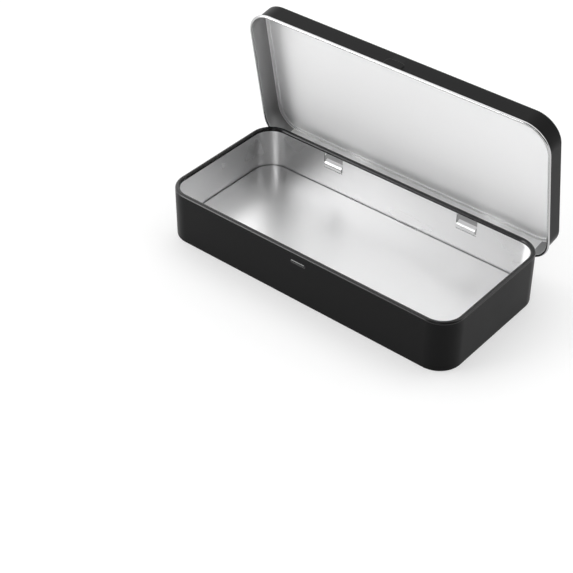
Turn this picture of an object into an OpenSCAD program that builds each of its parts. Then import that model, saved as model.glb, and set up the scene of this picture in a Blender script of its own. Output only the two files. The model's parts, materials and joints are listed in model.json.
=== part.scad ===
// Card game tin with a hinged lid, pressed from tinplate. Millimetres, +Z up.
// The origin is the centre of the base's footprint, on the ground. +X runs along the tin,
// and the hinge is at the back, on +Y. The lid stands open at rest.

/* [Sheet] */
// Thickness of the tinplate
sheet = 0.3; // [0.2:0.05:0.4]

/* [Base] */
// Outer length of the base
base_len = 180; // [140:1:240]
// Outer width of the base, front to back
base_wid = 83; // [64:1:140]
// Height from the ground to the top of the rolled rim
base_h = 30; // [26:0.5:60]
// Outer radius of the four upright corners
corner_r = 13; // [9:0.5:24]
// Outer radius of the roll along the rim
rim_r = 1.25; // [0.7:0.05:1.5]
// Outer radius of the roll along the foot
foot_r = 0.6; // [0.5:0.05:1.2]
// How much of the foot's roll is pressed flat
foot_flat = 0.06; // [0.02:0.01:0.12]
// Height of the floor's upper face above the ground
floor_z = 4.5; // [1.5:0.1:6]
// Outer radius of the bend round the floor's edge
floor_bend_r = 0.5; // [0.45:0.05:0.7]

/* [Lid] */
// Play between the swinging lid's skirt and the rim
skirt_play = 0.12; // [0.08:0.01:0.4]
// Gap between the closed lid's ledge and the rim
seat_gap = 0.25; // [0.1:0.05:0.6]
// Depth from the rim's top to the centre of the closed lid's bead
bead_drop = 10.8; // [9:0.1:14]
// Outer radius of the bead along the lid's edge
bead_r = 0.75; // [0.6:0.05:1]
// Outer radius of the bend along the skirt's upper edge
shoulder_r = 0.7; // [0.45:0.05:1]
// Width of the ledge round the raised panel
ledge_w = 1.5; // [1.2:0.1:4]
// Height of the raised panel above the ledge
panel_step = 0.85; // [0.75:0.05:2]
// Outer radius of the bend round the panel
panel_bend_r = 0.5; // [0.45:0.05:0.7]
// How far the lid stands open at rest
open_angle = 80; // [60:1:86]

/* [Hinge] */
// Distance between the centres of the two hinges
hinge_span = 87; // [60:1:110]
// Length of each clip along the hinge
clip_w = 11.4; // [8:0.1:16]
// Gap beside a clip in its window
window_side = 0.6; // [0.3:0.1:1.5]
// Height of the bar that a clip is rolled round
bar_h = 2.4; // [2:0.1:3.2]
// Running clearance between a clip and the corners of its bar
clip_run = 0.03; // [0.02:0.01:0.08]
// Clearance between a swinging clip and the slot under its bar
slot_clear = 0.1; // [0.05:0.01:0.3]
// Wall left between a window and the rolled rim
window_land = 0.8; // [0.5:0.1:2]
// Corner radius of a window
window_r = 0.7; // [0.3:0.1:1.2]
// Corner radius of the slot under a bar
slot_r = 0.2; // [0.1:0.05:0.3]
// Gap between a clip's grip and the bead that it holds
grip_gap = 0.02; // [0.01:0.01:0.05]
// Gap between a clip's web and its bar when the lid is open
stop_gap = 0.02; // [0.01:0.01:0.05]
// Angle of the roll from the web to its tip
roll_angle = 144; // [120:1:150]
// Angle of the grip from the web round the outside of the bead
grip_out_angle = 120; // [90:1:125]
// Angle of the grip from the web back under the bead
grip_in_angle = 115; // [60:1:118]

/* [Catch] */
// Length of the bump on the front wall
bump_len = 9.5; // [6:0.5:14]
// Height of the bump
bump_h = 1.8; // [1.2:0.1:2.4]
// How far the bump stands out
bump_out = 0.35; // [0.31:0.01:0.4]
// Depth from the rim's top to the centre of the bump
bump_drop = 6; // [5.5:0.1:6.5]
// Clearance over the bump in the lid's relief
relief_top_clear = 0.2; // [0.1:0.05:0.5]
// Clearance at each end of the bump in the lid's relief
relief_end_clear = 0.55; // [0.2:0.05:1]
// How far the relief stands out of the skirt
relief_out = 0.45; // [0.4:0.05:0.7]
// Radius of the relief's two upper corners
relief_r = 2.4; // [1:0.1:2.6]

/* [Hidden] */
$fn = 64;
eps = 0.01;
paint_black = "#2b2b2d";
bare_tin = "#c9cacc";

// The lid's bead is the hinge axis. It hangs outside the back wall.
hinge_z = base_h - bead_drop;
swing_rise = bead_drop - rim_r;
skirt_gap = swing_rise * swing_rise / (2 * base_wid) + skirt_play;
pivot_out = skirt_gap + bead_r;
hinge_y = base_wid / 2 + pivot_out;

// Lid outline and heights, closed
lid_grow = skirt_gap + sheet;
ledge_z = base_h + seat_gap + sheet;
lid_top = ledge_z + panel_step;

// Clip, measured from the hinge axis
bar_inner = pivot_out + sheet;
roll_in = norm([bar_inner, bar_h / 2]) + clip_run;
roll_out = roll_in + sheet;
slot_drop = sqrt(pow(roll_out + slot_clear, 2) - pivot_out * pivot_out);
grip_in = bead_r + grip_gap;
grip_out = grip_in + sheet;
bar_corner = norm([pivot_out, bar_h / 2]);
web_open = 180 + atan2(bar_h / 2, pivot_out) + asin((sheet / 2 + stop_gap) / bar_corner);
web_closed = web_open + open_angle;
window_w = clip_w + 2 * window_side;
window_top = base_h - 2 * rim_r - window_land;

// Bump as a slice of a round bar, pressed out of the sheet
bump_r = (pow(bump_h / 2, 2) + bump_out * bump_out) / (2 * bump_out);
bump_deep = bump_r - bump_out;
bump_z = base_h - bump_drop;

// Relief over the bump. It starts a little below the bead's top, so that they join.
relief_z0 = hinge_z + 0.95 * bead_r;
relief_z1 = bump_z + bump_h / 2 + relief_top_clear + sheet;
relief_w = bump_len + 2 * (relief_end_clear + sheet);

// ---- Profiles. x = 0 is the outer face of the wall, inside is negative x, y is the height. ----

// Quarter of a bent sheet. turn = 0 lies at the upper right of its centre, and each 90 is a quarter on.
module bend(r, turn) {
  rotate([0, 0, turn])
    intersection() {
      difference() {
        circle(r = r);
        circle(r = r - sheet);
      }
      square([r + 1, r + 1]);
    }
}

module base_profile() {
  rim_c = base_h - rim_r;
  foot_c = foot_r - foot_flat;
  riser_x = -2 * foot_r;
  // wall, rolled over inward at the rim
  translate([-sheet, foot_c]) square([sheet, rim_c - foot_c]);
  translate([-rim_r, rim_c]) {
    bend(rim_r, 0);
    bend(rim_r, 90);
    bend(rim_r, 180);
  }
  // foot, rolled under and pressed flat on the ground
  intersection() {
    translate([-foot_r, foot_c]) {
      bend(foot_r, 180);
      bend(foot_r, 270);
    }
    translate([-3 * foot_r, 0]) square([4 * foot_r, foot_c + eps]);
  }
  // riser up to the floor, and the bend into it
  translate([riser_x, foot_c]) square([sheet, floor_z - floor_bend_r - foot_c]);
  translate([riser_x + sheet - floor_bend_r, floor_z - floor_bend_r]) bend(floor_bend_r, 0);
}

module lid_profile() {
  riser_x = -ledge_w;
  // bead, rolled outward under the skirt
  translate([bead_r - sheet, hinge_z]) {
    bend(bead_r, 180);
    bend(bead_r, 270);
    bend(bead_r, 0);
  }
  // skirt, bent inward to the ledge
  translate([-sheet, hinge_z]) square([sheet, ledge_z - shoulder_r - hinge_z]);
  translate([-shoulder_r, ledge_z - shoulder_r]) bend(shoulder_r, 0);
  translate([riser_x - sheet, ledge_z - sheet]) square([ledge_w + sheet - shoulder_r, sheet]);
  // riser up to the raised panel, and the bend into it
  translate([riser_x - sheet, ledge_z - sheet])
    square([sheet, lid_top - panel_bend_r - ledge_z + sheet]);
  translate([riser_x - panel_bend_r, lid_top - panel_bend_r]) bend(panel_bend_r, 0);
}

// ---- Shapes that repeat ----

// Straight stretch of a profile along the back, with its outer face at span from the middle
module straight(run, span) {
  translate([-run / 2, span, 0]) rotate([90, 0, 90]) linear_extrude(run) children();
}

// Sweeps a profile round the tin. grow is how far x = 0 lies outside the base's wall.
module around_tin(grow) {
  run_x = base_len - 2 * corner_r;
  run_y = base_wid - 2 * corner_r;
  for (turn = [0, 180])
    rotate([0, 0, turn]) {
      straight(run_x, base_wid / 2 + grow) children();
      rotate([0, 0, 90]) straight(run_y, base_len / 2 + grow) children();
      for (side = [0, 1])
        translate([run_x / 2 * (1 - 2 * side), run_y / 2, 0])
          rotate([0, 0, 90 * side])
            rotate_extrude(angle = 90) translate([corner_r + grow, 0]) children();
    }
}

// Flat plate inside the tin's outline. inset is how far its edge lies inside the base's wall.
module plate(inset, thick) {
  r = corner_r - inset;
  linear_extrude(thick) {
    square([base_len - 2 * corner_r, base_wid - 2 * inset], center = true);
    square([base_len - 2 * inset, base_wid - 2 * corner_r], center = true);
    for (x = [-1, 1], y = [-1, 1])
      translate([x * (base_len / 2 - corner_r), y * (base_wid / 2 - corner_r)]) circle(r = r);
  }
}

// Rectangle with round corners, from its lower edge up
module round_rect(w, h, r) {
  translate([-w / 2 + r, 0]) square([w - 2 * r, h]);
  translate([-w / 2, r]) square([w, h - 2 * r]);
  for (x = [-1, 1], y = [r, h - r]) translate([x * (w / 2 - r), y]) circle(r = r);
}

// Round bar with ball ends, along X
module ball_bar(length, r) {
  rotate([0, 90, 0]) cylinder(h = length, r = r, center = true);
  for (x = [-1, 1]) translate([x * length / 2, 0, 0]) sphere(r = r);
}

// Swings the lid's parts from closed to the rest pose
module at_rest() {
  translate([0, hinge_y, hinge_z])
    rotate([-open_angle, 0, 0])
      translate([0, -hinge_y, -hinge_z]) children();
}

// ---- Base ----

module windows() {
  slot_z = hinge_z - slot_drop;
  bar_top = hinge_z + bar_h / 2;
  slot_h = slot_drop - bar_h / 2;
  depth = sheet + 2 * eps;
  for (side = [-1, 1])
    translate([side * hinge_span / 2, base_wid / 2 + eps, 0]) rotate([90, 0, 0]) {
      translate([0, slot_z, 0]) linear_extrude(depth) round_rect(window_w, slot_h, slot_r);
      translate([0, bar_top, 0])
        linear_extrude(depth) round_rect(window_w, window_top - bar_top, window_r);
    }
}

module bump() {
  translate([0, -base_wid / 2 + bump_deep, bump_z])
    intersection() {
      ball_bar(bump_len - bump_h, bump_r);
      translate([-bump_len, -2 * bump_r, -bump_h])
        cube([2 * bump_len, 2 * bump_r - bump_deep + sheet / 2, 2 * bump_h]);
    }
}

module base() {
  color(paint_black) {
    difference() {
      union() {
        around_tin(0) base_profile();
        bump();
      }
      windows();
      // hollow behind the bump
      translate([0, -base_wid / 2 + bump_deep, bump_z]) ball_bar(bump_len - bump_h, bump_r - sheet);
    }
    translate([0, 0, floor_z - sheet]) plate(2 * foot_r - sheet + floor_bend_r, sheet);
  }
}

// ---- Lid ----

module relief(inset, y_from, y_to) {
  h = relief_z1 - relief_z0 - inset;
  w = relief_w - 2 * inset;
  r = relief_r - inset;
  translate([0, y_to, relief_z0]) rotate([90, 0, 0]) linear_extrude(y_to - y_from)
    intersection() {
      translate([0, -2 * r]) round_rect(w, h + 2 * r, r);
      translate([-w, 0]) square([2 * w, h + 1]);
    }
}

module lid_closed() {
  skirt_y = -base_wid / 2 - lid_grow;
  difference() {
    union() {
      around_tin(lid_grow) lid_profile();
      relief(0, skirt_y - relief_out, skirt_y + sheet / 2);
    }
    relief(sheet, skirt_y - relief_out + sheet, skirt_y + sheet + eps);
  }
  translate([0, 0, lid_top - sheet]) plate(ledge_w + panel_bend_r - lid_grow, sheet);
}

module lid() {
  color(paint_black) at_rest() lid_closed();
}

// ---- Hinge clips ----

// Slice of a pie round the hinge axis, between two angles. Angle 0 points backward and 90 up.
module slice(reach, from, to) {
  steps = 6;
  polygon(concat([[0, 0]], [for (i = [0 : steps]) let (a = from + (to - from) * i / steps)
    2 * reach * [cos(a), sin(a)]]));
}

// Edge view of a clip: the roll round the bar, the grip round the bead, and the web between them
module clip_profile() {
  intersection() {
    circle(r = roll_out);
    union() {
      difference() {
        slice(roll_out, web_closed - roll_angle, web_closed);
        circle(r = roll_in);
      }
      rotate([0, 0, web_closed])
        translate([grip_in + sheet / 2, -sheet / 2]) square([roll_out - grip_in, sheet]);
    }
  }
  intersection() {
    difference() {
      circle(r = grip_out);
      circle(r = grip_in);
    }
    slice(grip_out, web_closed - grip_in_angle, web_closed + grip_out_angle);
  }
}

module clip_closed() {
  translate([-clip_w / 2, hinge_y, hinge_z])
    rotate([90, 0, 90]) linear_extrude(clip_w) clip_profile();
}

module hinge_clip(side) {
  color(bare_tin) at_rest() translate([side * hinge_span / 2, 0, 0]) clip_closed();
}

module hinge_clip_left() {
  hinge_clip(-1);
}

module hinge_clip_right() {
  hinge_clip(1);
}

base();
lid();
hinge_clip_left();
hinge_clip_right();
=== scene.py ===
"""Looks of a hinged card tin: satin black lacquer outside and bare tinplate inside.

The tin is drawn from two sheets. Each is modelled as a bent strip that is swept round the tin's
outline by a Geometry Nodes tree, closed with its flat plate and then pressed or pierced where the
real sheet is. Sizes are in millimetres until a mesh is made, and in metres after that.
"""

import json
import logging
import math
from dataclasses import dataclass
from enum import Enum
from typing import Callable

import bmesh
import bpy
from mathutils import Matrix, Vector

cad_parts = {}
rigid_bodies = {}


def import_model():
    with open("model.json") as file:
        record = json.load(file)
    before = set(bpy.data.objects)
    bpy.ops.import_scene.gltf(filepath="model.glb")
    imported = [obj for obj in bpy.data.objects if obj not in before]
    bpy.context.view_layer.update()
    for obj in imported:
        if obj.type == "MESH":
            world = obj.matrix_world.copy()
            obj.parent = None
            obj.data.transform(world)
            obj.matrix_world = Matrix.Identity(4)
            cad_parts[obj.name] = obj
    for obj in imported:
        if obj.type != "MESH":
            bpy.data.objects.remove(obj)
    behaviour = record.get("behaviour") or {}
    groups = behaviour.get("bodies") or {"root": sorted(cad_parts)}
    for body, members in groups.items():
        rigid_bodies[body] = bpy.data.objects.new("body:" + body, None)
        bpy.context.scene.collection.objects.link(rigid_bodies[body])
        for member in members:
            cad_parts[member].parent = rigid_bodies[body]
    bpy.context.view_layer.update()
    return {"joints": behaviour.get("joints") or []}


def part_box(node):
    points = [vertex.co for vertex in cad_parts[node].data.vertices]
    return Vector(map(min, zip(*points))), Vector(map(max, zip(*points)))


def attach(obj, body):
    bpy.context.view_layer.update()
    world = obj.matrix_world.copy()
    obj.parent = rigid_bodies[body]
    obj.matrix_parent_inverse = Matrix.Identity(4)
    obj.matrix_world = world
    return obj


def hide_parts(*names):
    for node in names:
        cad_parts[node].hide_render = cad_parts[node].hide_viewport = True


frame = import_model()

LOG = logging.getLogger("card_tin")
MM = 0.001


class Side(Enum):
    """The two faces of the coated sheet."""

    PAINTED = 0
    BARE = 1


# ---------------------------------------------------------------- sizes


@dataclass(frozen=True)
class TinSizes:
    """The tin's sizes in millimetres. Lengths that the frame gives are read from it."""

    length: float
    width: float
    base_height: float
    hinge_y: float
    hinge_z: float
    closing_angle: float
    sheet: float = 0.3
    corner_radius: float = 13.0
    rim_radius: float = 1.25
    foot_radius: float = 0.6
    foot_flat: float = 0.06
    floor_height: float = 4.5
    floor_bend: float = 0.42
    bead_radius: float = 0.75
    shoulder_radius: float = 0.7
    seat_gap: float = 0.25
    ledge_width: float = 1.5
    panel_step: float = 0.85
    panel_bend: float = 0.5
    hinge_span: float = 87.0

    @classmethod
    def from_frame(cls) -> "TinSizes":
        """Reads the outline from the base's box and the hinge from its joint.

        Returns:
            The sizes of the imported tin.
        """
        low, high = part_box("base")
        joint = frame["joints"][0]
        return cls(
            length=(high.x - low.x) / MM,
            width=2 * high.y / MM,
            base_height=high.z / MM,
            hinge_y=joint["pos_m"][1] / MM,
            hinge_z=joint["pos_m"][2] / MM,
            closing_angle=joint["range_deg"][1],
        )

    @property
    def skirt_gap(self) -> float:
        """Clear space between the base's wall and the lid's skirt."""
        return self.hinge_y - self.width / 2 - self.bead_radius

    @property
    def lid_grow(self) -> float:
        """How far the skirt's outer face lies outside the base's wall."""
        return self.skirt_gap + self.sheet

    @property
    def ledge_height(self) -> float:
        """Height of the closed lid's ledge."""
        return self.base_height + self.seat_gap + self.sheet

    @property
    def lid_height(self) -> float:
        """Height of the closed lid's top panel."""
        return self.ledge_height + self.panel_step

    @property
    def hinge_middles(self) -> tuple[float, float]:
        """Places of the two hinges along the tin."""
        return (-self.hinge_span / 2, self.hinge_span / 2)


# ---------------------------------------------------------------- finishes


class NodeMaterial:
    """A small helper that builds one procedural material on a Principled shader."""

    NOISE_ROUGHNESS = 0.55

    def __init__(self, name: str) -> None:
        """Starts an empty material.

        Args:
            name: the material's name.
        """
        self.material = bpy.data.materials.new(name)
        self.material.use_nodes = True
        self.tree = self.material.node_tree
        self.shader = self.tree.nodes["Principled BSDF"]

    def node(self, kind: str, **inputs: object) -> bpy.types.Node:
        """Adds a node and sets its inputs by name.

        Args:
            kind: the node's type.
            **inputs: input names, with _ for a space, and their values.

        Returns:
            The new node.
        """
        new = self.tree.nodes.new(kind)
        for name, value in inputs.items():
            new.inputs[name.replace("_", " ")].default_value = value
        return new

    def link(self, source: bpy.types.NodeSocket, target: bpy.types.NodeSocket) -> None:
        """Joins two sockets."""
        self.tree.links.new(source, target)

    def noise(self, per_mm: tuple[float, float, float], detail: float) -> bpy.types.NodeSocket:
        """Adds noise in the piece's own coordinates.

        Args:
            per_mm: how many grains lie on a millimetre along X, Y and Z.
            detail: octaves of the noise.

        Returns:
            The noise's value socket.
        """
        place = self.node("ShaderNodeTexCoord")
        scale = self.node("ShaderNodeMapping", Scale=Vector(per_mm) / MM)
        grain = self.node("ShaderNodeTexNoise", Scale=1.0, Detail=detail)
        grain.inputs["Roughness"].default_value = self.NOISE_ROUGHNESS
        self.link(place.outputs["Object"], scale.inputs["Vector"])
        self.link(scale.outputs["Vector"], grain.inputs["Vector"])
        return grain.outputs["Fac"]

    def vary_roughness(self, source: bpy.types.NodeSocket, middle: float, play: float) -> None:
        """Lets the roughness vary with a value.

        Args:
            source: a value from 0 to 1.
            middle: the roughness at 0.5.
            play: how far it goes either way.
        """
        span = self.node("ShaderNodeMapRange", To_Min=middle - play, To_Max=middle + play)
        self.link(source, span.inputs["Value"])
        self.link(span.outputs["Result"], self.shader.inputs["Roughness"])

    def bump(self, layers: list[tuple[bpy.types.NodeSocket, float]]) -> None:
        """Chains bump layers onto the shader.

        Args:
            layers: height sockets, each with its height in millimetres.
        """
        before = None
        for height, size in layers:
            layer = self.node("ShaderNodeBump", Strength=1.0, Distance=size * MM)
            self.link(height, layer.inputs["Height"])
            if before is not None:
                self.link(before.outputs["Normal"], layer.inputs["Normal"])
            before = layer
        self.link(before.outputs["Normal"], self.shader.inputs["Normal"])


@dataclass(frozen=True)
class SatinLacquer:
    """Satin black stove lacquer: nearly black, with a fine even grain."""

    name: str = "satin_black_lacquer"
    colour: tuple[float, float, float, float] = (0.0035, 0.0035, 0.0037, 1.0)
    roughness: float = 0.38
    roughness_play: float = 0.05
    specular: float = 0.10
    cloud_per_mm: float = 0.05
    grain_per_mm: float = 6.0
    grain_height: float = 0.0016
    peel_per_mm: float = 1.1
    peel_height: float = 0.0012

    def make(self) -> bpy.types.Material:
        """Builds the material."""
        paint = NodeMaterial(self.name)
        paint.shader.inputs["Base Color"].default_value = self.colour
        paint.shader.inputs["Specular IOR Level"].default_value = self.specular
        cloud = paint.noise((self.cloud_per_mm,) * 3, 3.0)
        paint.vary_roughness(cloud, self.roughness, self.roughness_play)
        grain = paint.noise((self.grain_per_mm,) * 3, 2.0)
        peel = paint.noise((self.peel_per_mm,) * 3, 1.0)
        paint.bump([(peel, self.peel_height), (grain, self.grain_height)])
        return paint.material


@dataclass(frozen=True)
class BareTinplate:
    """Bright tinplate: a satin sheen with fine mill lines along the tin."""

    name: str = "bare_tinplate"
    colour: tuple[float, float, float, float] = (0.86, 0.86, 0.863, 1.0)
    metallic: float = 1.0
    roughness: float = 0.42
    roughness_play: float = 0.03
    cloud_per_mm: tuple[float, float, float] = (0.02, 0.05, 0.05)
    lines_per_mm: tuple[float, float, float] = (0.1, 4.0, 4.0)
    line_height: float = 0.0003

    def make(self) -> bpy.types.Material:
        """Builds the material."""
        tin = NodeMaterial(self.name)
        tin.shader.inputs["Base Color"].default_value = self.colour
        tin.shader.inputs["Metallic"].default_value = self.metallic
        cloud = tin.noise(self.cloud_per_mm, 2.0)
        tin.vary_roughness(cloud, self.roughness, self.roughness_play)
        lines = tin.noise(self.lines_per_mm, 2.0)
        tin.bump([(lines, self.line_height)])
        return tin.material


def grey(value: float, cool: float = 0.002) -> tuple[float, float, float, float]:
    """A tinplate grey, very slightly cool.

    Args:
        value: its red and green.
        cool: how much more blue it has.

    Returns:
        The colour.
    """
    return (value, value, value + cool, 1.0)


@dataclass(frozen=True)
class BaseFinishes:
    """Finishes of the tray: the outside, the bare wall, the floor and the rubbed edges."""

    outside: bpy.types.Material
    wall: bpy.types.Material
    floor: bpy.types.Material
    edges: bpy.types.Material


@dataclass(frozen=True)
class LidFinishes:
    """Finishes of the lid: the outside, the bare parts and the rubbed edges."""

    outside: bpy.types.Material
    skirt: bpy.types.Material
    panel: bpy.types.Material
    bead: bpy.types.Material
    ledge: bpy.types.Material
    edges: bpy.types.Material


# ---------------------------------------------------------------- bent sheet


class SheetStrip:
    """The cross-section of a bent sheet, as pairs of points on its two faces.

    x is outward from the outer face of the wall and z is the height, in millimetres.
    """

    STEP_DEG = 9.0
    # Millimetres from a bend to the support point, and from the last bend to the strip's end.
    SUPPORT = 0.3
    PLATE_RUN = 0.4

    def __init__(self) -> None:
        """Starts an empty strip."""
        self.painted: list[tuple[float, float]] = []
        self.bare: list[tuple[float, float]] = []

    def point(self, painted: tuple[float, float], bare: tuple[float, float]) -> None:
        """Adds one pair of points."""
        self.painted.append(painted)
        self.bare.append(bare)

    def bend(
        self, centre: tuple[float, float], painted_r: float, bare_r: float, start: float, end: float
    ) -> None:
        """Adds a round bend.

        Args:
            centre: the bend's centre.
            painted_r: radius of the painted face.
            bare_r: radius of the bare face.
            start: first angle in degrees, from outward towards up.
            end: last angle in degrees.
        """
        steps = max(2, math.ceil(abs(end - start) / self.STEP_DEG))
        for i in range(steps + 1):
            angle = math.radians(start + (end - start) * i / steps)
            ray = (math.cos(angle), math.sin(angle))
            self.point(
                (centre[0] + painted_r * ray[0], centre[1] + painted_r * ray[1]),
                (centre[0] + bare_r * ray[0], centre[1] + bare_r * ray[1]),
            )

    def run(
        self,
        painted: tuple[float, float],
        bare: tuple[float, float],
        painted_to: tuple[float, float],
        bare_to: tuple[float, float],
    ) -> None:
        """Adds a straight stretch, with a support point near each end so that it shades flat.

        Args:
            painted: the painted face's first point.
            bare: the bare face's first point.
            painted_to: the painted face's last point.
            bare_to: the bare face's last point.
        """
        length = math.dist(painted, painted_to)
        near = min(self.SUPPORT, length / 3) / length

        def between(
            first: tuple[float, float], last: tuple[float, float], part: float
        ) -> tuple[float, float]:
            """A point part of the way from the first to the last."""
            return (first[0] + (last[0] - first[0]) * part, first[1] + (last[1] - first[1]) * part)

        for part in (near, 1.0 - near):
            self.point(between(painted, painted_to, part), between(bare, bare_to, part))

    def mesh(self, name: str) -> bpy.types.Mesh:
        """Makes the strip an open line round both faces, from plate edge to plate edge.

        Args:
            name: the mesh's name.

        Returns:
            A mesh of edges whose points say on which side of the sheet they lie.
        """
        points = list(reversed(self.painted)) + self.bare
        sides = [Side.PAINTED.value] * len(self.painted) + [Side.BARE.value] * len(self.bare)
        line = bpy.data.meshes.new(name)
        line.from_pydata(
            [(x * MM, -z * MM, 0.0) for x, z in points],
            [(i, i + 1) for i in range(len(points) - 1)],
            [],
        )
        mark = line.attributes.new("bare_side", "FLOAT", "POINT")
        mark.data.foreach_set("value", [float(side) for side in sides])
        return line


class OutlineSweep:
    """A Geometry Nodes tree that sweeps a strip round the tin's rounded rectangle."""

    NAME = "sweep_round_the_tin"
    CORNER_POINTS = 20
    # A face counts as bare from this share of bare points on, so the sheet's cut edge does too.
    BARE_FROM = 0.25

    def __init__(self) -> None:
        """Builds the tree."""
        self.tree = bpy.data.node_groups.new(self.NAME, "GeometryNodeTree")
        face = self.tree.interface
        face.new_socket("Geometry", in_out="INPUT", socket_type="NodeSocketGeometry")
        self.ids: dict[str, str] = {}
        for name, kind in (
            ("Length", "NodeSocketFloat"),
            ("Width", "NodeSocketFloat"),
            ("Corner Radius", "NodeSocketFloat"),
            ("Corner Points", "NodeSocketInt"),
            ("Painted", "NodeSocketMaterial"),
            ("Bare", "NodeSocketMaterial"),
        ):
            socket = face.new_socket(name, in_out="INPUT", socket_type=kind)
            self.ids[name] = socket.identifier
        face.new_socket("Geometry", in_out="OUTPUT", socket_type="NodeSocketGeometry")
        self._wire()

    def _wire(self) -> None:
        """Adds the nodes and joins them."""
        nodes, links = self.tree.nodes, self.tree.links
        given = nodes.new("NodeGroupInput")
        result = nodes.new("NodeGroupOutput")
        outline = nodes.new("GeometryNodeCurvePrimitiveQuadrilateral")
        round_off = nodes.new("GeometryNodeFilletCurve")
        round_off.mode = "POLY"
        strip = nodes.new("GeometryNodeMeshToCurve")
        sweep = nodes.new("GeometryNodeCurveToMesh")
        side = nodes.new("GeometryNodeInputNamedAttribute")
        side.data_type = "FLOAT"
        side.inputs["Name"].default_value = "bare_side"
        is_bare = nodes.new("FunctionNodeCompare")
        is_bare.data_type = "FLOAT"
        is_bare.operation = "GREATER_THAN"
        is_bare.inputs["B"].default_value = self.BARE_FROM
        paint = nodes.new("GeometryNodeSetMaterial")
        strip_bare = nodes.new("GeometryNodeSetMaterial")
        realize = nodes.new("GeometryNodeRealizeInstances")
        links.new(given.outputs["Length"], outline.inputs["Width"])
        links.new(given.outputs["Width"], outline.inputs["Height"])
        links.new(outline.outputs["Curve"], round_off.inputs["Curve"])
        links.new(given.outputs["Corner Radius"], round_off.inputs["Radius"])
        links.new(given.outputs["Corner Points"], round_off.inputs["Count"])
        links.new(given.outputs["Geometry"], strip.inputs["Mesh"])
        links.new(round_off.outputs["Curve"], sweep.inputs["Curve"])
        links.new(strip.outputs["Curve"], sweep.inputs["Profile Curve"])
        links.new(sweep.outputs["Mesh"], realize.inputs["Geometry"])
        links.new(realize.outputs["Geometry"], paint.inputs["Geometry"])
        links.new(given.outputs["Painted"], paint.inputs["Material"])
        links.new(paint.outputs["Geometry"], strip_bare.inputs["Geometry"])
        links.new(given.outputs["Bare"], strip_bare.inputs["Material"])
        links.new(side.outputs["Attribute"], is_bare.inputs["A"])
        links.new(is_bare.outputs["Result"], strip_bare.inputs["Selection"])
        links.new(strip_bare.outputs["Geometry"], result.inputs["Geometry"])

    def run(
        self,
        strip: SheetStrip,
        name: str,
        size: TinSizes,
        grow: float,
        painted: bpy.types.Material,
        bare: bpy.types.Material,
    ) -> bpy.types.Mesh:
        """Sweeps a strip and returns the result as a plain mesh.

        Args:
            strip: the sheet's cross-section.
            name: the mesh's name.
            size: the tin's sizes.
            grow: how far the strip's x = 0 lies outside the base's wall, in millimetres.
            painted: finish of the painted face.
            bare: finish of the bare face.

        Returns:
            The swept mesh, still open at its plate.
        """
        host = bpy.data.objects.new(name + "_strip", strip.mesh(name + "_strip"))
        bpy.context.scene.collection.objects.link(host)
        modifier = host.modifiers.new("sweep", "NODES")
        modifier.node_group = self.tree
        values = {
            "Length": (size.length + 2 * grow) * MM,
            "Width": (size.width + 2 * grow) * MM,
            "Corner Radius": (size.corner_radius + grow) * MM,
            "Corner Points": self.CORNER_POINTS,
            "Painted": painted,
            "Bare": bare,
        }
        for key, value in values.items():
            modifier[self.ids[key]] = value
        bpy.context.view_layer.update()
        seen = host.evaluated_get(bpy.context.evaluated_depsgraph_get())
        mesh = bpy.data.meshes.new_from_object(seen)
        mesh.name = name
        bpy.data.objects.remove(host)
        return mesh


# ---------------------------------------------------------------- sheet-metal work


def smooth_step(value: float, low: float, high: float) -> float:
    """Runs from 0 at low to 1 at high, with flat ends.

    Args:
        value: where to read the step.
        low: where it starts.
        high: where it ends.

    Returns:
        A number from 0 to 1.
    """
    t = min(1.0, max(0.0, (value - low) / (high - low)))
    return t * t * (3.0 - 2.0 * t)


def rounded_window(
    x: float, low: float, high: float, width: float, radius: float, steps: int = 8
) -> list[tuple[float, float]]:
    """Outline of an upright window with round corners.

    Args:
        x: the window's middle.
        low: its lower edge.
        high: its upper edge.
        width: its width.
        radius: its corner radius.
        steps: edges round each corner.

    Returns:
        Points in x and z, in millimetres.
    """
    points = []
    for cx, cz, first in (
        (x + width / 2 - radius, high - radius, 0),
        (x - width / 2 + radius, high - radius, 90),
        (x - width / 2 + radius, low + radius, 180),
        (x + width / 2 - radius, low + radius, 270),
    ):
        for i in range(steps + 1):
            angle = math.radians(first + 90 * i / steps)
            points.append((cx + radius * math.cos(angle), cz + radius * math.sin(angle)))
    return points


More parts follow.
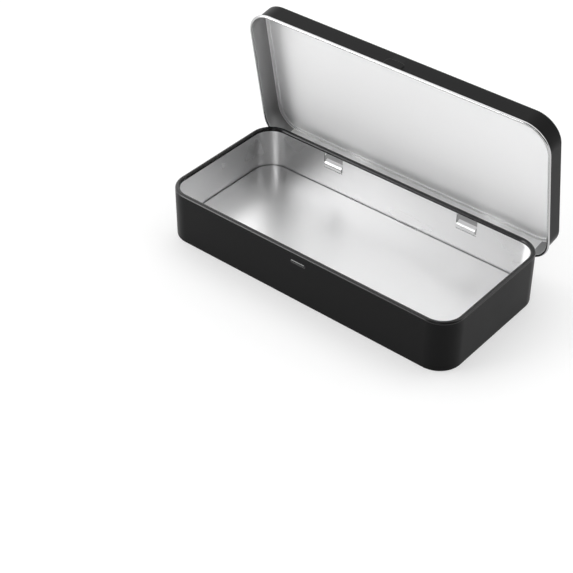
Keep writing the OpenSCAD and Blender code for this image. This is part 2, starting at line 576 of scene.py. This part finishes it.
class SheetMetal:
    """Closes, cuts, presses and finishes a swept sheet."""

    # In metres, for the mesh tools.
    MERGE = 1e-7
    # In millimetres: a support loop's distance from its bend, the largest error of a flat face, half
    # the length and the cuts of a pressed region, and the lift from which a face counts as pressed.
    SUPPORT = 0.3
    NEAR = 1e-3
    PRESS_HALF = 6.0
    PRESS_STEP = 0.2
    PRESSED = 0.02

    def __init__(self, mesh: bpy.types.Mesh, size: TinSizes) -> None:
        """Takes the swept mesh into the workshop.

        Args:
            mesh: the swept strip.
            size: the tin's sizes.
        """
        self.mesh = mesh
        self.size = size
        self.work = bmesh.new()
        self.work.from_mesh(mesh)
        bmesh.ops.remove_doubles(self.work, verts=self.work.verts, dist=self.MERGE)

    def cut(
        self, faces: list[bmesh.types.BMFace], place: Vector, normal: Vector
    ) -> list[bmesh.types.BMFace]:
        """Cuts faces by a plane and gives back all of their parts.

        Args:
            faces: the faces to cut.
            place: a point on the plane.
            normal: the plane's normal.

        Returns:
            The faces on both sides of the cut.
        """
        edges = {edge for face in faces for edge in face.edges}
        verts = {vert for face in faces for vert in face.verts}
        made = bmesh.ops.bisect_plane(
            self.work,
            geom=list(faces) + list(edges) + list(verts),
            dist=self.MERGE,
            plane_co=place,
            plane_no=normal,
        )
        return [item for item in made["geom"] if isinstance(item, bmesh.types.BMFace)]

    def support_corners(self) -> None:
        """Adds a loop just inside each end of the straight sides, so that they shade flat."""
        half_x = (self.size.length / 2 - self.size.corner_radius - self.SUPPORT) * MM
        half_y = (self.size.width / 2 - self.size.corner_radius - self.SUPPORT) * MM
        for side in (-1, 1):
            self.cut(list(self.work.faces), Vector((side * half_x, 0, 0)), Vector((1, 0, 0)))
            self.cut(list(self.work.faces), Vector((0, side * half_y, 0)), Vector((0, 1, 0)))

    def close_plates(self, bare_plate: bpy.types.Material) -> None:
        """Closes both faces of the flat plate inside the swept strip.

        Args:
            bare_plate: finish of the plate's bare face.
        """
        rims = [edge for edge in self.work.edges if edge.is_boundary]
        for face in bmesh.ops.holes_fill(self.work, edges=rims, sides=0)["faces"]:
            beside = next(
                other for edge in face.edges for other in edge.link_faces if other is not face
            )
            painted = beside.material_index == Side.PAINTED.value
            face.material_index = Side.PAINTED.value if painted else self.index_of(bare_plate)
        bmesh.ops.recalc_face_normals(self.work, faces=self.work.faces)

    def press(
        self,
        walls: tuple[float, float],
        z_range: tuple[float, float],
        lift: Callable[[float, float], float],
    ) -> None:
        """Presses a form out of the front wall, through both faces of the sheet.

        Args:
            walls: y of the painted and of the bare face.
            z_range: the lowest and the highest z of the region.
            lift: how far a point moves outward, from its x and z.
        """
        half_x, step = self.PRESS_HALF, self.PRESS_STEP
        for wall in walls:
            faces = [
                face
                for face in self.work.faces
                if all(abs(vert.co.y / MM - wall) < self.NEAR for vert in face.verts)
                and min(vert.co.x for vert in face.verts) < 0
                and max(vert.co.x for vert in face.verts) > 0
                and max(vert.co.z for vert in face.verts) / MM > z_range[0] + 10 * self.NEAR
                and min(vert.co.z for vert in face.verts) / MM < z_range[1] - 10 * self.NEAR
            ]
            count_x = round(2 * half_x / step)
            for i in range(count_x + 1):
                at = Vector(((-half_x + i * step) * MM, 0, 0))
                faces = self.cut(faces, at, Vector((1, 0, 0)))
            faces = [f for f in faces if abs(f.calc_center_median().x) < half_x * MM]
            count_z = round((z_range[1] - z_range[0]) / step)
            for i in range(count_z + 1):
                at = Vector((0, 0, (z_range[0] + i * step) * MM))
                faces = self.cut(faces, at, Vector((0, 0, 1)))
            for vert in {vert for face in faces for vert in face.verts}:
                vert.co.y -= lift(vert.co.x / MM, vert.co.z / MM) * MM

    def index_of(self, finish: bpy.types.Material) -> int:
        """The slot of a finish, which is added where the sheet hasn't got it."""
        if finish.name not in self.mesh.materials:
            self.mesh.materials.append(finish)
        return self.mesh.materials.find(finish.name)

    def refinish(
        self, old: bpy.types.Material, new: bpy.types.Material, there: Callable[[Vector], bool]
    ) -> None:
        """Gives some of one finish's faces another finish.

        Args:
            old: the finish that is replaced.
            new: the other finish.
            there: whether a face is changed, from its centre in millimetres.
        """
        new_index, old_index = self.index_of(new), self.index_of(old)
        for face in self.work.faces:
            if face.material_index == old_index and there(face.calc_center_median() / MM):
                face.material_index = new_index

    def finish(self, name: str) -> bpy.types.Object:
        """Writes the work back to the mesh, smooths it and puts it in an object.

        Args:
            name: the piece's name.

        Returns:
            The piece.
        """
        self.work.to_mesh(self.mesh)
        self.work.free()
        piece = bpy.data.objects.new(name, self.mesh)
        bpy.context.scene.collection.objects.link(piece)
        shade_by_angle(piece)
        return piece


def shade_by_angle(piece: bpy.types.Object, degrees: float = 32.0) -> None:
    """Shades a piece smooth, apart from edges that turn more than an angle.

    Args:
        piece: the piece.
        degrees: the angle.
    """
    piece.data.polygons.foreach_set("use_smooth", [True] * len(piece.data.polygons))
    piece.data.set_sharp_from_angle(angle=math.radians(degrees))


def pierce(
    piece: bpy.types.Object, outlines: list[list[tuple[float, float]]], y_range: tuple[float, float]
) -> None:
    """Cuts windows through a wall that faces along Y.

    Args:
        piece: the piece to cut.
        outlines: the windows, as points in x and z, in millimetres.
        y_range: where the cutters start and end.
    """
    work = bmesh.new()
    for outline in outlines:
        ends = [[work.verts.new((x * MM, y * MM, z * MM)) for x, z in outline] for y in y_range]
        work.faces.new(ends[0])
        work.faces.new(list(reversed(ends[1])))
        for i in range(len(outline)):
            j = (i + 1) % len(outline)
            work.faces.new((ends[0][j], ends[0][i], ends[1][i], ends[1][j]))
    bmesh.ops.recalc_face_normals(work, faces=work.faces)
    mesh = bpy.data.meshes.new("window_punches")
    work.to_mesh(mesh)
    work.free()
    for material in piece.data.materials:
        mesh.materials.append(material)
    mesh.polygons.foreach_set("material_index", [Side.PAINTED.value] * len(mesh.polygons))
    punch = bpy.data.objects.new("window_punches", mesh)
    bpy.context.scene.collection.objects.link(punch)
    cut = piece.modifiers.new("windows", "BOOLEAN")
    cut.operation = "DIFFERENCE"
    cut.solver = "EXACT"
    cut.object = punch
    bpy.context.view_layer.update()
    seen = piece.evaluated_get(bpy.context.evaluated_depsgraph_get())
    done = bpy.data.meshes.new_from_object(seen)
    piece.modifiers.clear()
    before, piece.data = piece.data, done
    bpy.data.objects.remove(punch)
    bpy.data.meshes.remove(before)
    shade_by_angle(piece)


# ---------------------------------------------------------------- sub-assemblies


@dataclass
class TinBase:
    """The tray: rolled rim, rolled foot, raised floor, catch bump and hinge windows."""

    size: TinSizes
    window_width: float = 12.6
    bar_height: float = 2.4
    slot_drop: float = 2.0904
    window_top: float = 26.7
    window_radius: float = 0.7
    slot_radius: float = 0.2
    bump_length: float = 9.5
    bump_height: float = 1.8
    bump_out: float = 0.35
    bump_drop: float = 6.0
    bump_room: float = 1.6
    bump_soft: float = 0.04
    bump_trim: float = 0.0006
    floor_spring: float = 0.28

    def strip(self) -> SheetStrip:
        """Cross-section from the rim's tip to the floor."""
        s = self.size
        strip = SheetStrip()
        rim_z = s.base_height - s.rim_radius
        foot_z = s.foot_radius - s.foot_flat
        strip.bend((-s.rim_radius, rim_z), s.rim_radius, s.rim_radius - s.sheet, 270, 0)
        strip.run((0, rim_z), (-s.sheet, rim_z), (0, foot_z), (-s.sheet, foot_z))
        strip.bend((-s.foot_radius, foot_z), s.foot_radius, s.foot_radius - s.sheet, 360, 180)
        riser = -2 * s.foot_radius
        spring = riser + self.floor_spring
        bend_z = s.floor_height - s.floor_bend
        riser_bare, spring_bare = riser + s.sheet, spring + s.sheet
        strip.run((riser, foot_z), (riser_bare, foot_z), (spring, bend_z), (spring_bare, bend_z))
        strip.point((spring, bend_z), (spring_bare, bend_z))
        centre = (spring_bare - s.floor_bend, bend_z)
        strip.bend(centre, s.floor_bend - s.sheet, s.floor_bend, 0, 90)
        edge = centre[0] - strip.PLATE_RUN
        strip.point((edge, s.floor_height - s.sheet), (edge, s.floor_height))
        strip.painted = [(x, max(z, 0.0)) for x, z in strip.painted]
        return strip

    def bump_lift(self, x: float, z: float) -> float:
        """How far the catch bump stands out at a point of the front wall.

        Args:
            x: along the tin, in millimetres.
            z: the height.

        Returns:
            The lift in millimetres.
        """
        half = self.bump_height / 2
        radius = (half * half + self.bump_out * self.bump_out) / (2 * self.bump_out)
        past_end = max(0.0, abs(x) - (self.bump_length - self.bump_height) / 2)
        away = math.hypot(past_end, z - (self.size.base_height - self.bump_drop))
        crown = math.sqrt(max(0.0, radius * radius - away * away)) - (radius - self.bump_out)
        return 0.5 * (crown + math.hypot(crown, self.bump_soft)) - self.bump_trim

    def build(self, sweep: OutlineSweep, finishes: BaseFinishes) -> bpy.types.Object:
        """Builds and dresses the tray.

        Args:
            sweep: the tree that sweeps a strip.
            finishes: the tray's finishes.

        Returns:
            The tray.
        """
        s, f = self.size, finishes
        mesh = sweep.run(self.strip(), "tin_base", s, 0.0, f.outside, f.wall)
        metal = SheetMetal(mesh, s)
        metal.support_corners()
        metal.close_plates(f.floor)
        metal.refinish(f.outside, f.edges, lambda at: at.z > s.base_height - s.rim_radius)
        bump_z = s.base_height - self.bump_drop
        wall = -s.width / 2
        z_range = (bump_z - self.bump_room, bump_z + self.bump_room)
        metal.press((wall, wall + s.sheet), z_range, self.bump_lift)
        metal.refinish(f.outside, f.edges, lambda at: at.y < wall - metal.PRESSED)
        piece = metal.finish("tin_base")
        pierce(piece, self.windows(), (s.width / 2 - 2 * s.sheet, s.width / 2 + s.sheet))
        return piece

    def windows(self) -> list[list[tuple[float, float]]]:
        """Outlines of the slot and the window at each hinge."""
        s = self.size
        bar_top = s.hinge_z + self.bar_height / 2
        bar_low = s.hinge_z - self.bar_height / 2
        slot_low = s.hinge_z - self.slot_drop
        outlines = []
        for x in s.hinge_middles:
            outlines.append(
                rounded_window(x, slot_low, bar_low, self.window_width, self.slot_radius)
            )
            outlines.append(
                rounded_window(x, bar_top, self.window_top, self.window_width, self.window_radius)
            )
        return outlines


@dataclass
class HingedLid:
    """The lid: beaded edge, skirt, ledge, raised panel and the relief over the catch."""

    size: TinSizes
    relief_low: float = 19.9125
    relief_high: float = 25.4
    relief_width: float = 11.2
    relief_out: float = 0.45
    relief_radius: float = 2.4
    relief_flank: float = 0.5
    relief_root: tuple[float, float] = (0.1, 0.5)
    relief_room: float = 0.2
    clip_room_left: float = 9.5
    clip_room_right: float = 7.0
    shade_patch_height: float = 5.0

    def strip(self) -> SheetStrip:
        """Cross-section from the bead's tip to the panel."""
        s = self.size
        strip = SheetStrip()
        inner = s.bead_radius - s.sheet
        strip.bend((inner, s.hinge_z), inner, s.bead_radius, 450, 180)
        top = s.ledge_height - s.shoulder_radius
        strip.run((0, s.hinge_z), (-s.sheet, s.hinge_z), (0, top), (-s.sheet, top))
        strip.bend((-s.shoulder_radius, top), s.shoulder_radius, s.shoulder_radius - s.sheet, 0, 90)
        riser = -s.ledge_width
        strip.point((riser, s.ledge_height), (riser - s.sheet, s.ledge_height - s.sheet))
        bend_z = s.lid_height - s.panel_bend
        strip.point((riser, bend_z), (riser - s.sheet, bend_z))
        centre = (riser - s.panel_bend, bend_z)
        strip.bend(centre, s.panel_bend, s.panel_bend - s.sheet, 0, 90)
        edge = centre[0] - strip.PLATE_RUN
        strip.point((edge, s.lid_height), (edge, s.lid_height - s.sheet))
        return strip

    def paint_shade_at_clips(self, metal: SheetMetal, finishes: LidFinishes) -> None:
        """Paints shade at the clips: black lacquer on the bead where the clips grip it, and a dark
        skirt patch above.

        Args:
            metal: the lid on the bench.
            finishes: the lid's finishes.
        """
        s, f = self.size, finishes
        top = s.hinge_z + s.bead_radius

        def rear() -> list[bmesh.types.BMFace]:
            """The faces of the rear skirt."""
            wall = s.width / 2 * MM
            return [face for face in metal.work.faces if face.calc_center_median().y > wall]

        def near_clip(at: Vector) -> bool:
            """Whether a point of the rear skirt lies at a clip."""
            return at.y > s.width / 2 and any(
                middle - self.clip_room_left < at.x < middle + self.clip_room_right
                for middle in s.hinge_middles
            )

        for middle in s.hinge_middles:
            for x in (middle - self.clip_room_left, middle + self.clip_room_right):
                metal.cut(rear(), Vector((x * MM, 0, 0)), Vector((1, 0, 0)))
        shade_patch_top = top + self.shade_patch_height
        metal.cut(rear(), Vector((0, 0, shade_patch_top * MM)), Vector((0, 0, 1)))
        # Painted shade: the bead at each clip takes the black lacquer, so the gaps beside the clip
        # show dark outlines.
        metal.refinish(f.bead, f.outside, lambda at: near_clip(at) and at.z < top)
        # Painted shade: the rear skirt up to the patch's top keeps the dark skirt grey in place of
        # the bright ledge grey.
        metal.refinish(f.ledge, f.skirt, lambda at: near_clip(at) and at.z < shade_patch_top)

    def relief_lift(self, x: float, z: float) -> float:
        """How far the relief stands out at a point of the front skirt.

        Args:
            x: along the tin, in millimetres.
            z: the height with the lid closed.

        Returns:
            The lift in millimetres.
        """
        r = self.relief_radius
        side = abs(x) - self.relief_width / 2
        above = z - self.relief_high
        corner = math.hypot(max(0.0, side + r), max(0.0, above + r)) - r
        inside = -(corner if side + r > 0 and above + r > 0 else max(side, above))
        lift = smooth_step(inside, 0.0, self.relief_flank)
        root, full = (self.relief_low + up for up in self.relief_root)
        return self.relief_out * lift * smooth_step(z, root, full)

    def build(self, sweep: OutlineSweep, finishes: LidFinishes) -> bpy.types.Object:
        """Builds the lid closed, dresses it and swings it open to the rest pose.

        Args:
            sweep: the tree that sweeps a strip.
            finishes: the lid's finishes.

        Returns:
            The lid.
        """
        s, f = self.size, finishes
        mesh = sweep.run(self.strip(), "tin_lid", s, s.lid_grow, f.outside, f.skirt)
        metal = SheetMetal(mesh, s)
        metal.support_corners()
        metal.close_plates(f.panel)
        shoulder = s.ledge_height - s.shoulder_radius
        # Painted light: the shoulder, ledge, panel bend and the whole rear skirt take the lighter
        # ledge grey.
        metal.refinish(f.skirt, f.ledge, lambda at: at.z > shoulder or at.y > s.width / 2)
        for finish in (f.outside, f.skirt, f.ledge):
            metal.refinish(finish, f.bead, lambda at: at.z < s.hinge_z + s.bead_radius)
        self.paint_shade_at_clips(metal, f)
        metal.refinish(f.outside, f.edges, lambda at: shoulder < at.z < s.lid_height - metal.NEAR)
        wall = -s.width / 2 - s.lid_grow
        z_range = (self.relief_low, self.relief_high + self.relief_room)
        metal.press((wall, wall + s.sheet), z_range, self.relief_lift)
        piece = metal.finish("tin_lid")
        swing_open(piece, s)
        return piece


def swing_open(piece: bpy.types.Object, size: TinSizes) -> None:
    """Turns a piece that was built closed about the hinge to the rest pose, in its mesh.

    Args:
        piece: the piece.
        size: the tin's sizes.
    """
    pin = Vector((0, size.hinge_y, size.hinge_z)) * MM
    turn = Matrix.Rotation(math.radians(-size.closing_angle), 4, "X")
    piece.data.transform(Matrix.Translation(pin) @ turn @ Matrix.Translation(-pin))


@dataclass
class HingeClips:
    """The two clips that hold the lid's bead and roll round the bar between the windows."""

    size: TinSizes
    width: float = 11.4
    roll_inner: float = 2.12675
    grip_inner: float = 0.77
    web_angle: float = 225.46
    roll_angle: float = 144.0
    grip_out_angle: float = 120.0
    grip_in_angle: float = 115.0
    step_deg: float = 7.0

    def outline(self) -> list[tuple[float, float]]:
        """Edge view of a clip round the hinge axis, in the rest pose."""
        sheet = self.size.sheet
        roll_outer = self.roll_inner + sheet
        grip_outer = self.grip_inner + sheet
        web = self.web_angle

        def arc(radius: float, start: float, end: float) -> list[tuple[float, float]]:
            """Points on a circle round the axis, from one angle to another."""
            steps = max(2, math.ceil(abs(end - start) / self.step_deg))
            angles = [math.radians(start + (end - start) * i / steps) for i in range(steps + 1)]
            return [(radius * math.cos(a), radius * math.sin(a)) for a in angles]

        def half_web(radius: float) -> float:
            """Half of the web's thickness as an angle at a radius."""
            return math.degrees(math.asin(sheet / 2 / radius))

        return (
            arc(self.roll_inner, web - self.roll_angle, web - half_web(self.roll_inner))
            + arc(grip_outer, web - half_web(grip_outer), web - self.grip_in_angle)
            + arc(self.grip_inner, web - self.grip_in_angle, web + self.grip_out_angle)
            + arc(grip_outer, web + self.grip_out_angle, web + half_web(grip_outer))
            + arc(roll_outer, web + half_web(roll_outer), web - self.roll_angle)
        )

    def build(self, name: str, x: float, finish: bpy.types.Material) -> bpy.types.Object:
        """Builds and dresses one clip.

        Args:
            name: the piece's name.
            x: the clip's middle along the hinge, in millimetres.
            finish: its material.

        Returns:
            The clip.
        """
        outline = self.outline()
        work = bmesh.new()
        ends = []
        for side in (-1, 1):
            at = (x + side * self.width / 2) * MM
            ends.append(
                [
                    work.verts.new((at, (self.size.hinge_y + y) * MM, (self.size.hinge_z + z) * MM))
                    for y, z in outline
                ]
            )
        work.faces.new(ends[0])
        work.faces.new(list(reversed(ends[1])))
        for i in range(len(outline)):
            j = (i + 1) % len(outline)
            work.faces.new((ends[0][j], ends[0][i], ends[1][i], ends[1][j]))
        bmesh.ops.recalc_face_normals(work, faces=work.faces)
        mesh = bpy.data.meshes.new(name)
        work.to_mesh(mesh)
        work.free()
        mesh.materials.append(finish)
        piece = bpy.data.objects.new(name, mesh)
        bpy.context.scene.collection.objects.link(piece)
        shade_by_angle(piece)
        return piece


# ---------------------------------------------------------------- studio


@dataclass(frozen=True)
class Studio:
    """White floor, a pale room with lights and a dark curtain, a wide soft lamp and the camera."""

    floor_colour: tuple[float, float, float, float] = (0.92, 0.92, 0.92, 1.0)
    floor_roughness: float = 0.9
    floor_specular: float = 0.1
    seen_colour: tuple[float, float, float, float] = (0.55, 0.55, 0.55, 1.0)
    seen_glow: float = 0.48
    seen_sky: float = 1.0
    floor_half: float = 9.0
    room_strength: float = 1.45
    panel_toward: tuple[float, float, float] = (-0.34, -0.93, -0.12)
    panel_strength: float = 25.0
    panel_focus: float = 20.0
    spots: tuple[tuple[tuple[float, float, float], float], ...] = (
        ((0.243, -0.749, 0.616), 3.6),
        ((0.757, 0.217, 0.616), 2.6),
    )
    spot_focus: float = 320.0
    curtain_toward: tuple[float, float, float] = (0.63, -0.70, 0.33)
    curtain_edge: tuple[float, float] = (0.15, 0.5)
    curtain_strength: float = 0.02
    lamp_strength: float = 0.55
    lamp_spread: float = 140.0
    camera_place: tuple[float, float, float] = (0.372, -0.4942, 0.4793)
    camera_turn: tuple[float, float, float] = (51.29, 0.0, 39.96)
    camera_lens: float = 94.67

    def floor(self) -> bpy.types.Object:
        """Makes the white floor."""
        mesh = bpy.data.meshes.new("studio_floor")
        half = self.floor_half
        corners = [(-half, -half, 0), (half, -half, 0), (half, half, 0), (-half, half, 0)]
        mesh.from_pydata(corners, [], [(0, 1, 2, 3)])
        floor = bpy.data.objects.new("studio_floor", mesh)
        bpy.context.scene.collection.objects.link(floor)
        mesh.materials.append(self.paper())
        return floor

    def paper(self) -> bpy.types.Material:
        """Makes the floor's finish: white paper, lifted where the camera or a gloss sees it."""
        paper = NodeMaterial("white_paper_sweep")
        paper.shader.inputs["Base Color"].default_value = self.floor_colour
        paper.shader.inputs["Roughness"].default_value = self.floor_roughness
        paper.shader.inputs["Specular IOR Level"].default_value = self.floor_specular
        tree = paper.tree
        seen = tree.nodes.new("ShaderNodeBsdfDiffuse")
        seen.inputs["Color"].default_value = self.seen_colour
        glow = tree.nodes.new("ShaderNodeEmission")
        glow.inputs["Strength"].default_value = self.seen_glow
        both = tree.nodes.new("ShaderNodeAddShader")
        paper.link(seen.outputs["BSDF"], both.inputs[0])
        paper.link(glow.outputs["Emission"], both.inputs[1])
        path = tree.nodes.new("ShaderNodeLightPath")
        which = path.outputs["Is Camera Ray"]
        for ray in ("Is Glossy Ray", "Is Transmission Ray"):
            either = tree.nodes.new("ShaderNodeMath")
            either.operation = "MAXIMUM"
            paper.link(which, either.inputs[0])
            paper.link(path.outputs[ray], either.inputs[1])
            which = either.outputs["Value"]
        mix = tree.nodes.new("ShaderNodeMixShader")
        paper.link(which, mix.inputs[0])
        paper.link(paper.shader.outputs["BSDF"], mix.inputs[1])
        paper.link(both.outputs["Shader"], mix.inputs[2])
        paper.link(mix.outputs["Shader"], tree.nodes["Material Output"].inputs["Surface"])
        return paper.material

    def room(self) -> None:
        """Sets the world: a pale room, a bright low panel, two small lights and a dark curtain.

        The camera itself sees plain white beyond the floor.
        """
        world = bpy.data.worlds.new("studio_room")
        bpy.context.scene.world = world
        world.use_nodes = True
        tree = world.node_tree
        place = tree.nodes.new("ShaderNodeTexCoord")

        def toward(direction: tuple[float, float, float]) -> bpy.types.NodeSocket:
            """Cosine of the angle to a direction."""
            dot = tree.nodes.new("ShaderNodeVectorMath")
            dot.operation = "DOT_PRODUCT"
            dot.inputs[1].default_value = Vector(direction).normalized()
            tree.links.new(place.outputs["Generated"], dot.inputs[0])
            return dot.outputs["Value"]

        def ramp(
            value: bpy.types.NodeSocket, span: tuple[float, float], ends: tuple[float, float]
        ) -> bpy.types.Node:
            """Maps a span of a value to two end values."""
            node = tree.nodes.new("ShaderNodeMapRange")
            for name, number in zip(("From Min", "From Max", "To Min", "To Max"), span + ends):
                node.inputs[name].default_value = number
            tree.links.new(value, node.inputs["Value"])
            return node

        def maths(
            kind: str, first: bpy.types.NodeSocket, second: bpy.types.NodeSocket | float
        ) -> bpy.types.NodeSocket:
            """Joins two values."""
            node = tree.nodes.new("ShaderNodeMath")
            node.operation = kind
            tree.links.new(first, node.inputs[0])
            if isinstance(second, float):
                node.inputs[1].default_value = second
            else:
                tree.links.new(second, node.inputs[1])
            return node.outputs["Value"]

        def glow(
            direction: tuple[float, float, float], focus: float, strength: float
        ) -> bpy.types.NodeSocket:
            """A soft round light round a direction."""
            half = ramp(toward(direction), (-1.0, 1.0), (0.0, 1.0)).outputs["Result"]
            return maths("MULTIPLY", maths("POWER", half, focus), strength)

        curtain = ramp(toward(self.curtain_toward), self.curtain_edge, (1.0, self.curtain_strength))
        curtain.interpolation_type = "SMOOTHSTEP"
        wide = glow(self.panel_toward, self.panel_focus, self.panel_strength)
        light = maths("MULTIPLY", maths("ADD", wide, self.room_strength), curtain.outputs["Result"])
        for direction, strength in self.spots:
            light = maths("ADD", light, glow(direction, self.spot_focus, strength))
        path = tree.nodes.new("ShaderNodeLightPath")
        seen = tree.nodes.new("ShaderNodeMix")
        seen.inputs["B"].default_value = self.seen_sky
        tree.links.new(path.outputs["Is Camera Ray"], seen.inputs["Factor"])
        tree.links.new(light, seen.inputs["A"])
        tree.links.new(seen.outputs["Result"], tree.nodes["Background"].inputs["Strength"])
        tree.nodes["Background"].inputs["Color"].default_value = (1.0, 1.0, 1.0, 1.0)

    def light(self) -> None:
        """Hangs the wide ceiling lamp."""
        data = bpy.data.lights.new("wide_softbox", "SUN")
        data.energy = self.lamp_strength
        data.angle = math.radians(self.lamp_spread)
        bpy.context.scene.collection.objects.link(bpy.data.objects.new("wide_softbox", data))

    def camera(self) -> None:
        """Places the camera where the photograph was taken from."""
        data = bpy.data.cameras.new("photo_camera")
        data.lens = self.camera_lens
        data.sensor_width = 36.0
        data.clip_start = 0.01
        camera = bpy.data.objects.new("photo_camera", data)
        camera.location = self.camera_place
        camera.rotation_euler = [math.radians(angle) for angle in self.camera_turn]
        bpy.context.scene.collection.objects.link(camera)
        bpy.context.scene.camera = camera


# ---------------------------------------------------------------- assembly


def make_finishes() -> tuple[BaseFinishes, LidFinishes]:
    """Makes the materials. Each part of the bare sheet gets its own grey as painted light and shade:
    lit and shaded copies of one tinplate.

    Returns:
        The finishes of the tray and of the lid.
    """
    lacquer = SatinLacquer().make()
    edges = SatinLacquer("rubbed_black_lacquer", roughness=0.16, specular=0.42).make()
    wall = BareTinplate("wall_tinplate", colour=grey(0.78, cool=0.003), roughness=0.28).make()
    floor = BareTinplate("floor_tinplate", colour=grey(0.92), roughness=0.36).make()
    # Painted shade: the skirt's tinplate is a much darker grey than the wall's.
    skirt = BareTinplate("skirt_tinplate_painted_shade", colour=grey(0.36), roughness=0.3).make()
    # Painted light: the ledge's tinplate is a lighter, more diffuse grey.
    ledge = BareTinplate("ledge_tinplate_painted_light", colour=grey(0.96), metallic=0.3, roughness=0.5).make()
    # Painted shade: the bead's tinplate is a darker grey.
    bead = BareTinplate("bead_tinplate_painted_shade", colour=grey(0.52), roughness=0.2).make()
    panel = BareTinplate("panel_tinplate", colour=grey(0.93), metallic=0.6, roughness=0.78).make()
    return (
        BaseFinishes(lacquer, wall, floor, edges),
        LidFinishes(lacquer, skirt, panel, bead, ledge, edges),
    )


def install(piece: bpy.types.Object, body: str, node: str) -> None:
    """Tells the frame what a finished piece rides on and stands for.

    Args:
        piece: the piece.
        body: the moving body that it belongs to.
        node: the CAD node that it replaces.
    """
    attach(piece, body)
    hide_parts(node)
    mesh = piece.data
    LOG.info("%s: %d faces, %d finishes", piece.name, len(mesh.polygons), len(mesh.materials))


def main() -> None:
    """Builds the tin round the frame, then the studio."""
    logging.basicConfig(level=logging.INFO, format="%(name)s: %(message)s")
    bpy.context.scene.view_settings.view_transform = "Standard"
    size = TinSizes.from_frame()
    base_finishes, lid_finishes = make_finishes()
    sweep = OutlineSweep()

    install(TinBase(size).build(sweep, base_finishes), "base", "base")
    install(HingedLid(size).build(sweep, lid_finishes), "lid", "lid")
    clips = HingeClips(size)
    for side, x in zip(("left", "right"), size.hinge_middles):
        clip = clips.build(f"hinge_clip_{side}_strip", x, base_finishes.wall)
        install(clip, "lid", f"hinge_clip_{side}")

    studio = Studio()
    studio.floor()
    studio.room()
    studio.light()
    studio.camera()


if __name__ == "__main__":
    main()
